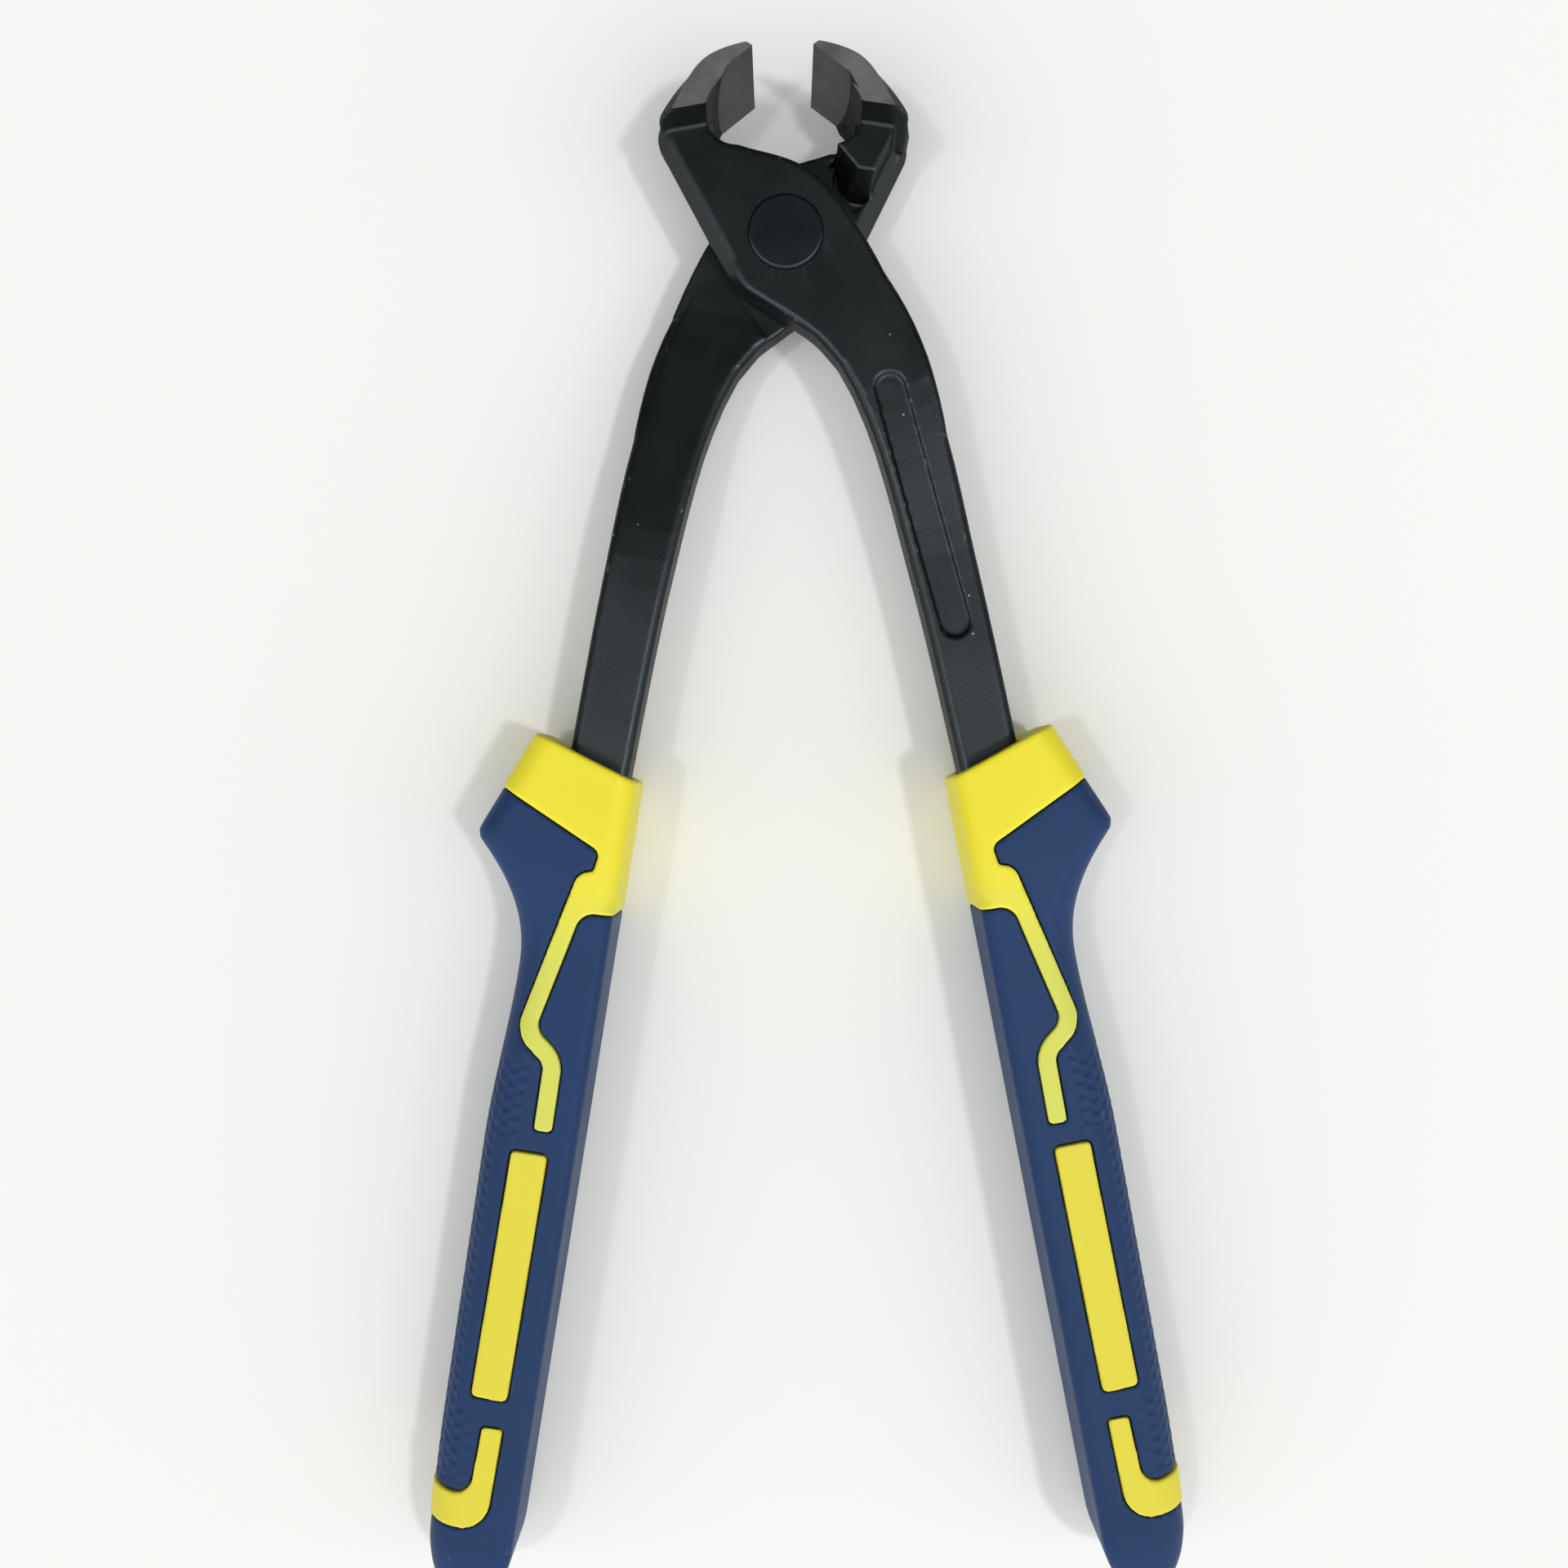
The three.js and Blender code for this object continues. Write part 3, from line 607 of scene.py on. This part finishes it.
def mitred(path, width):
    """Both sides of a path of even width, down one side and up the other."""
    sides = ([], [])
    for i, point in enumerate(path):
        before = (point - path[i - 1]) if i else (path[1] - point)
        after = (path[i + 1] - point) if i + 1 < len(path) else before
        a, b = before.normalized(), after.normalized()
        normal = Vector((a.y + b.y, -a.x - b.x, 0)).normalized()
        reach = width / 2 / math.sqrt((1 + a.dot(b)) / 2)
        sides[0].append(point + normal * reach)
        sides[1].append(point - normal * reach)
    return sides[0] + sides[1][::-1]


def inlay_outlines():
    """Collar with stripe, pad and hook, as corners with the radius that each is rounded to."""
    far = 2 * GUARD_REACH
    reach, top = COLLAR_LINE
    slope = (NOTCH_TOP - top) / (reach - NOTCH_REACH)
    stripe = mitred([on_grip(*p) for p in STRIPE], STRIPE_WIDTH)
    lean = (STRIPE[1][0] - STRIPE[0][0]) / (STRIPE[1][1] - STRIPE[0][1])
    skirt = STRIPE[0][0] + lean * (SKIRT_DROP - STRIPE[0][1])
    collar = [
        (on_grip(far, top - slope * (far - reach)), 0),
        (on_grip(far, -far), 0),
        (on_grip(-far, -far), 0),
        (on_grip(-far, SKIRT_DROP), 0),
        (on_grip(skirt - STRIPE_WIDTH / 2, SKIRT_DROP), 2.2),
        (stripe[1], 1.6), (stripe[2], 2.6), (stripe[3], 0.6),
        (stripe[4], 0.6), (stripe[5], 1.0), (stripe[6], 2.8),
        (on_grip(STRIPE[0][0] + STRIPE_WIDTH / 2 - 0.2, NOTCH_FOOT), 2.0),
        (on_grip(NOTCH_REACH + 0.5, NOTCH_FOOT), 0.9),
        (on_grip(NOTCH_REACH, NOTCH_TOP), 1.0),
    ]
    pad = [(p, 0.8) for p in mitred([on_grip(*p) for p in PAD], PAD_WIDTH)]
    left, right = HOOK_REACH - HOOK_WIDTH / 2, HOOK_REACH + HOOK_WIDTH / 2
    hook = [
        (on_grip(left, HOOK_TOP), 0.5),
        (on_grip(left + HOOK_LEAN, HOOK_BAND[1]), 4.2),
        (on_grip(far, HOOK_BAND[1]), 0),
        (on_grip(far, HOOK_BAND[0]), 0),
        (on_grip(right + HOOK_LEAN, HOOK_BAND[0]), 2.6),
        (on_grip(right, HOOK_TOP), 0.5),
    ]
    return collar, pad, hook


def inlay_prisms(gap, name):
    """Upright blocks on the pattern's outlines, made larger by a gap."""
    bm = bmesh.new()
    for outline in inlay_outlines():
        verts = [bm.verts.new((p.x, p.y, -BLOCK_HALF)) for p, radius in outline]
        bm.faces.new(verts)
        for vert, (p, radius) in zip(verts, outline):
            if radius:
                bmesh.ops.bevel(bm, geom=[vert], offset=radius, affect="VERTICES", segments=8, profile=0.5,
                                material=-1)
    raised = bmesh.ops.extrude_face_region(bm, geom=bm.faces[:])
    top = [v for v in raised["geom"] if isinstance(v, bmesh.types.BMVert)]
    bmesh.ops.translate(bm, verts=top, vec=(0, 0, 2 * BLOCK_HALF))
    bmesh.ops.recalc_face_normals(bm, faces=bm.faces)
    grow(bm, gap)
    return object_of(bm, name)


def tang_ring(y, wall):
    centre = lerp(TANG_CENTRE, GRIP_AXIS, (y - COLLAR_ARM_DROP) / TANG_LENGTH)
    side = TANG_WIDTH / 2 + wall
    inner, outer = Vector((centre - side, -y, 0)), Vector((centre + side, -y, 0))
    return inner, outer, TANG_THICKNESS / 2 + wall, SLEEVE_ROUND, SLEEVE_ROUND


def sleeve(gap, name):
    """The first shot's tube on the tang, under the second shot."""
    wall = SLEEVE_WALL + gap
    return skin_over([tang_ring(ARM_END - SLEEVE_LAP, wall), tang_ring(SLEEVE_END + gap, wall)], name)


def arm_bore():
    """The arm and tang with clearance, where they sit in the grip."""
    bm = lever_blank()
    everything = bm.verts[:] + bm.edges[:] + bm.faces[:]
    bmesh.ops.bisect_plane(bm, geom=everything, plane_co=(0, -BORE_TOP, 0), plane_no=(0, 1, 0),
                           clear_outer=True)
    bmesh.ops.holes_fill(bm, edges=[e for e in bm.edges if e.is_boundary], sides=0)
    grow(bm, BORE_GAP)
    return object_of(bm, "arm_bore")


def dimple_start(drop):
    """How far out from the axis the dimples begin on the face, for each stretch of the grip."""
    for top, foot, start in DIMPLE_STRETCHES:
        if top < drop < foot:
            return start
    return math.inf


def dimples(piece):
    """Rows of small hollows with one steep side, round the outside of the grip."""
    bm = bmesh.new()
    bm.from_mesh(piece.data)
    bm.normal_update()
    for vert in bm.verts:
        x, y, z = vert.co
        drop = -GRIP_DROP - y
        reach = x - GRIP_AXIS
        if reach < dimple_start(drop):
            continue
        inward = soft_reach(drop) - reach
        flat = half_thickness(drop) - OUTER_ROUND
        if inward < OUTER_ROUND:
            round_it = math.atan2(max(abs(z) - flat, 0), OUTER_ROUND - inward)
            around = min(abs(z), flat) + OUTER_ROUND * round_it
        else:
            around = flat + OUTER_ROUND * math.pi / 2 + inward - OUTER_ROUND
        row = round(around / DIMPLE_ROW)
        shift = 0.5 * (row % 2)
        step = round(drop / DIMPLE_PITCH - shift) + shift
        across = (around - row * DIMPLE_ROW) / DIMPLE_RADIUS
        down = (drop - step * DIMPLE_PITCH) / DIMPLE_RADIUS
        bowl = max(0.0, 1 - across * across - down * down)
        vert.co -= vert.normal * DIMPLE_DEPTH * bowl * (DIMPLE_LEVEL + DIMPLE_LEAN * down)
    bm.to_mesh(piece.data)
    bm.free()


def first_shot():
    piece = grip_body(INLAY_RISE, "first_shot_shape")
    combine(piece, inlay_prisms(0, "inlay_blocks"), "INTERSECT")
    combine(piece, sleeve(0, "sleeve"), "UNION")
    combine(piece, arm_bore(), "DIFFERENCE")
    soften(piece, MOULD_VOXEL, MOULD_PASSES)
    thin(piece, FIRST_SHARE)
    shade(piece, MOULD_CREASE)
    return piece


def second_shot():
    piece = grip_body(0, "second_shot_shape")
    combine(piece, inlay_prisms(GROOVE, "groove_blocks"), "DIFFERENCE", overlaps=True)
    combine(piece, sleeve(GROOVE, "sleeve_bore"), "DIFFERENCE")
    soften(piece, MOULD_VOXEL, MOULD_PASSES)
    dimples(piece)
    thin(piece, SECOND_SHARE)
    shade(piece, MOULD_CREASE)
    return piece


# Finishes


def node(tree, kind, **settings):
    made = tree.nodes.new(kind)
    for name, value in settings.items():
        setattr(made, name, value)
    return made


def wire(tree, source, target):
    tree.links.new(source, target)


def group(name, inputs, outputs):
    tree = bpy.data.node_groups.new(name, "ShaderNodeTree")
    for label, value in inputs.items():
        socket = tree.interface.new_socket(label, in_out="INPUT", socket_type="NodeSocketFloat")
        socket.default_value = value
    for label in outputs:
        tree.interface.new_socket(label, in_out="OUTPUT", socket_type="NodeSocketFloat")
    return tree, node(tree, "NodeGroupInput"), node(tree, "NodeGroupOutput")


def grain_group():
    """Fine relief and slow changes of tone."""
    tree, given, result = group("surface_grain", {"Grain": 3000, "Patches": 60}, ("Relief", "Tone"))
    place_in = node(tree, "ShaderNodeTexCoord")
    fine = node(tree, "ShaderNodeTexNoise")
    fine.inputs["Detail"].default_value = 4
    slow = node(tree, "ShaderNodeTexNoise")
    slow.inputs["Detail"].default_value = 3
    for texture, label in ((fine, "Grain"), (slow, "Patches")):
        wire(tree, place_in.outputs["Object"], texture.inputs["Vector"])
        wire(tree, given.outputs[label], texture.inputs["Scale"])
    wire(tree, fine.outputs["Fac"], result.inputs["Relief"])
    wire(tree, slow.outputs["Fac"], result.inputs["Tone"])
    return tree


def wear_and_highlight_group():
    """Edges painted lighter where the surface is sharply curved, part wear and part painted highlight,
    broken up by noise.
    """
    tree, given, result = group("edge_wear_and_highlight", {"Start": 0.53, "Full": 0.6, "Break": 400}, ("Wear_and_highlight",))
    place_in = node(tree, "ShaderNodeTexCoord")
    shape = node(tree, "ShaderNodeNewGeometry")
    edge = node(tree, "ShaderNodeMapRange", clamp=True)
    patches = node(tree, "ShaderNodeTexNoise")
    patches.inputs["Detail"].default_value = 5
    breaks = node(tree, "ShaderNodeMapRange", clamp=True)
    breaks.inputs["From Min"].default_value = 0.35
    breaks.inputs["From Max"].default_value = 0.65
    both = node(tree, "ShaderNodeMath", operation="MULTIPLY")
    wire(tree, shape.outputs["Pointiness"], edge.inputs["Value"])
    wire(tree, given.outputs["Start"], edge.inputs["From Min"])
    wire(tree, given.outputs["Full"], edge.inputs["From Max"])
    wire(tree, place_in.outputs["Object"], patches.inputs["Vector"])
    wire(tree, given.outputs["Break"], patches.inputs["Scale"])
    wire(tree, patches.outputs["Fac"], breaks.inputs["Value"])
    wire(tree, edge.outputs["Result"], both.inputs[0])
    wire(tree, breaks.outputs["Result"], both.inputs[1])
    wire(tree, both.outputs["Value"], result.inputs["Wear_and_highlight"])
    return tree


def speck_group():
    """Scattered small chips and specks."""
    tree, given, result = group("specks", {"Scale": 260, "Size": 0.07, "Share": 0.1}, ("Speck",))
    place_in = node(tree, "ShaderNodeTexCoord")
    cells = node(tree, "ShaderNodeTexVoronoi")
    near = node(tree, "ShaderNodeMath", operation="LESS_THAN")
    split = node(tree, "ShaderNodeSeparateColor")
    few = node(tree, "ShaderNodeMath", operation="LESS_THAN")
    both = node(tree, "ShaderNodeMath", operation="MULTIPLY")
    wire(tree, place_in.outputs["Object"], cells.inputs["Vector"])
    wire(tree, given.outputs["Scale"], cells.inputs["Scale"])
    wire(tree, cells.outputs["Distance"], near.inputs[0])
    wire(tree, given.outputs["Size"], near.inputs[1])
    wire(tree, cells.outputs["Color"], split.inputs["Color"])
    wire(tree, split.outputs["Red"], few.inputs[0])
    wire(tree, given.outputs["Share"], few.inputs[1])
    wire(tree, near.outputs["Value"], both.inputs[0])
    wire(tree, few.outputs["Value"], both.inputs[1])
    wire(tree, both.outputs["Value"], result.inputs["Speck"])
    return tree


GRAIN = grain_group()
# Edge lightening: part wear, part painted highlight
WEAR_AND_HIGHLIGHT = wear_and_highlight_group()
SPECKS = speck_group()


class Finish:
    """A procedural material that is built up from a base colour."""

    def __init__(self, name, dark, light, metallic, grain, patches, gloss=0.5):
        self.material = bpy.data.materials.new(name)
        self.material.use_nodes = True
        self.tree = self.material.node_tree
        self.shader = self.tree.nodes["Principled BSDF"]
        self.shader.inputs["Metallic"].default_value = metallic
        self.shader.inputs["Specular IOR Level"].default_value = gloss
        self.grain = self.effect(GRAIN, Grain=grain, Patches=patches)
        self.colour = self.mixed(self.grain.outputs["Tone"], dark, light)
        wire(self.tree, self.colour, self.shader.inputs["Base Color"])

    def effect(self, tree, **values):
        made = node(self.tree, "ShaderNodeGroup", node_tree=tree)
        for label, value in values.items():
            made.inputs[label].default_value = value
        return made

    def mixed(self, factor, first, second):
        """A colour that changes from first to second, each given as a colour or as a socket."""
        mix = node(self.tree, "ShaderNodeMix", data_type="RGBA")
        wire(self.tree, factor, mix.inputs["Factor"])
        for label, value in (("A", first), ("B", second)):
            socket = next(s for s in mix.inputs if s.name == label and s.type == "RGBA")
            if isinstance(value, tuple):
                socket.default_value = (*value, 1)
            else:
                wire(self.tree, value, socket)
        return next(s for s in mix.outputs if s.type == "RGBA")

    def paint(self, mask, colour):
        self.colour = self.mixed(mask, self.colour, colour)
        wire(self.tree, self.colour, self.shader.inputs["Base Color"])

    def below(self, start, full):
        """A mask that comes in between two places along the nippers."""
        where = node(self.tree, "ShaderNodeTexCoord")
        split = node(self.tree, "ShaderNodeSeparateXYZ")
        fade = node(self.tree, "ShaderNodeMapRange", interpolation_type="SMOOTHSTEP")
        fade.inputs["From Min"].default_value = start
        fade.inputs["From Max"].default_value = full
        wire(self.tree, where.outputs["Object"], split.inputs["Vector"])
        wire(self.tree, split.outputs["Y"], fade.inputs["Value"])
        return fade.outputs["Result"]

    def roughness(self, value, low, high, source_low=0.3, source_high=0.7):
        span = node(self.tree, "ShaderNodeMapRange", clamp=True)
        span.inputs["From Min"].default_value = source_low
        span.inputs["From Max"].default_value = source_high
        span.inputs["To Min"].default_value = low
        span.inputs["To Max"].default_value = high
        wire(self.tree, value, span.inputs["Value"])
        wire(self.tree, span.outputs["Result"], self.shader.inputs["Roughness"])

    def bump(self, height, depth, strength):
        relief = node(self.tree, "ShaderNodeBump")
        relief.inputs["Distance"].default_value = depth
        relief.inputs["Strength"].default_value = strength
        wire(self.tree, height, relief.inputs["Height"])
        wire(self.tree, relief.outputs["Normal"], self.shader.inputs["Normal"])


def black_forging():
    finish = Finish("black_forging", (0.027, 0.0325, 0.035), (0.041, 0.048, 0.0515), 0.85, 2600, 90)
    finish.shader.inputs["Specular Tint"].default_value = (0.5, 0.5, 0.5, 1)
    # Edges painted lighter: part wear, part painted highlight on the black steel
    wear_and_highlight = finish.effect(WEAR_AND_HIGHLIGHT, Start=0.53, Full=0.62, Break=500)
    specks = finish.effect(SPECKS, Scale=230, Size=0.035, Share=0.8)
    finish.paint(wear_and_highlight.outputs["Wear_and_highlight"], (0.15, 0.16, 0.165))
    finish.paint(specks.outputs["Speck"], (0.4, 0.42, 0.43))
    finish.roughness(finish.grain.outputs["Tone"], 0.31, 0.39)
    finish.bump(finish.grain.outputs["Relief"], 0.00005, 0.35)
    return finish.material


def ground_steel():
    finish = Finish("ground_steel", (0.30, 0.30, 0.30), (0.40, 0.40, 0.395), 1.0, 1800, 150)
    finish.roughness(finish.grain.outputs["Tone"], 0.34, 0.46)
    finish.bump(finish.grain.outputs["Relief"], 0.00003, 0.3)
    return finish.material


def machined_steel():
    finish = Finish("machined_steel", (0.085, 0.087, 0.09), (0.125, 0.127, 0.13), 0.9, 1500, 200)
    finish.roughness(finish.grain.outputs["Tone"], 0.35, 0.5)
    finish.bump(finish.grain.outputs["Relief"], 0.00003, 0.3)
    return finish.material


def rivet_steel():
    finish = Finish("rivet_steel", (0.026, 0.031, 0.037), (0.036, 0.042, 0.049), 0.85, 2400, 160)
    finish.shader.inputs["Specular Tint"].default_value = (0.5, 0.5, 0.5, 1)
    # Edges painted lighter: part wear, part painted highlight on the rivet
    wear_and_highlight = finish.effect(WEAR_AND_HIGHLIGHT, Start=0.52, Full=0.6, Break=700)
    finish.paint(wear_and_highlight.outputs["Wear_and_highlight"], (0.13, 0.14, 0.15))
    finish.roughness(finish.grain.outputs["Tone"], 0.32, 0.4)
    finish.bump(finish.grain.outputs["Relief"], 0.00004, 0.3)
    return finish.material


def yellow_shot():
    finish = Finish("yellow_first_shot", (0.8, 0.7, 0.026), (0.85, 0.76, 0.04), 0.0, 2200, 45, 0.22)
    finish.paint(finish.below(*STRIPE_FADE), (0.66, 0.69, 0.11))
    finish.paint(finish.below(*PAD_FADE), (0.75, 0.66, 0.05))
    finish.roughness(finish.grain.outputs["Tone"], 0.42, 0.52)
    finish.bump(finish.grain.outputs["Relief"], 0.00003, 0.2)
    return finish.material


def blue_shot():
    finish = Finish("blue_second_shot", (0.0145, 0.04, 0.114), (0.021, 0.05, 0.138), 0.0, 2600, 40, 0.1)
    # Edges painted lighter blue: part wear, part painted highlight on the rounded edges
    wear_and_highlight = finish.effect(WEAR_AND_HIGHLIGHT, Start=0.53, Full=0.62, Break=300)
    finish.paint(wear_and_highlight.outputs["Wear_and_highlight"], (0.04, 0.072, 0.16))
    finish.roughness(finish.grain.outputs["Tone"], 0.4, 0.52)
    finish.bump(finish.grain.outputs["Relief"], 0.00005, 0.3)
    return finish.material


# Nippers

steel = [black_forging(), ground_steel(), machined_steel()]
yellow = yellow_shot()
blue = blue_shot()

lever_shape = lever_forging()
place(lever_shape, "front_lever_forging", FRONT, "front", "front_lever", steel)
place(lever_shape, "rear_lever_forging", REAR, "rear", "rear_lever", steel)
rivet_shape = rivet()
place(rivet_shape, "rivet", FRONT, "front", "pivot_rivet", [rivet_steel()])
yellow_shape = first_shot()
blue_shape = second_shot()
for side, where, body in (("right", FRONT, "front"), ("left", REAR, "rear")):
    place(yellow_shape, f"{side}_grip_first_shot", where, body, f"{side}_grip_core",
          [yellow])
    place(blue_shape, f"{side}_grip_second_shot", where, body, f"{side}_grip_skin",
          [blue])
for shape in (lever_shape, rivet_shape, yellow_shape, blue_shape):
    bpy.data.objects.remove(shape)


# Floor, light and camera


def floor():
    bm = bmesh.new()
    bmesh.ops.create_grid(bm, x_segments=1, y_segments=1, size=3)
    piece = object_of(bm, "floor")
    paper = bpy.data.materials.new("pale_floor")
    paper.use_nodes = True
    shader = paper.node_tree.nodes["Principled BSDF"]
    shader.inputs["Base Color"].default_value = (0.9, 0.905, 0.885, 1)
    shader.inputs["Roughness"].default_value = 0.8
    shader.inputs["Specular IOR Level"].default_value = 0.1
    piece.data.materials.append(paper)


def lamp(name, sideways, forwards, energy):
    """A round soft lamp, turned from overhead by its angles in degrees."""
    light = bpy.data.lights.new(name, "AREA")
    light.shape = "DISK"
    light.size = LAMP_SIZE
    light.energy = energy
    lamp_object = bpy.data.objects.new(name, light)
    tilt = Vector((math.tan(math.radians(sideways)), math.tan(math.radians(forwards)), 1)).normalized()
    lamp_object.location = tilt * LAMP_DISTANCE
    lamp_object.rotation_euler = tilt.to_track_quat("Z", "Y").to_euler()
    bpy.context.scene.collection.objects.link(lamp_object)


def studio():
    """Light from all round, brighter over the grips than past the jaws."""
    world = bpy.data.worlds.new("studio")
    bpy.context.scene.world = world
    world.use_nodes = True
    tree = world.node_tree
    sky = tree.nodes["Background"]
    direction = node(tree, "ShaderNodeTexCoord")
    split = node(tree, "ShaderNodeSeparateXYZ")
    fade = node(tree, "ShaderNodeMapRange", interpolation_type="SMOOTHSTEP")
    fade.inputs["From Min"].default_value = SKY_FADE[0]
    fade.inputs["From Max"].default_value = SKY_FADE[1]
    fade.inputs["To Min"].default_value = SKY_STRENGTH[0]
    fade.inputs["To Max"].default_value = SKY_STRENGTH[1]
    wire(tree, direction.outputs["Generated"], split.inputs["Vector"])
    wire(tree, split.outputs["Y"], fade.inputs["Value"])
    wire(tree, fade.outputs["Result"], sky.inputs["Strength"])
    sky.inputs["Color"].default_value = (1, 1, 0.99, 1)


def camera():
    """A close view from straight above, a little turned."""
    view = bpy.data.cameras.new("camera")
    view.sensor_width = 36
    view.lens = VIEW_LENS
    view.clip_start = 0.01
    eye = bpy.data.objects.new("camera", view)
    eye.location = VIEWPOINT
    eye.rotation_euler = (0, 0, VIEW_ROLL)
    bpy.context.scene.collection.objects.link(eye)
    bpy.context.scene.camera = eye


floor()
lamp("left_lamp", -22, -7, 4)
lamp("right_lamp", 23, -9, 8)
studio()
camera()
bpy.context.scene.view_settings.view_transform = "Standard"
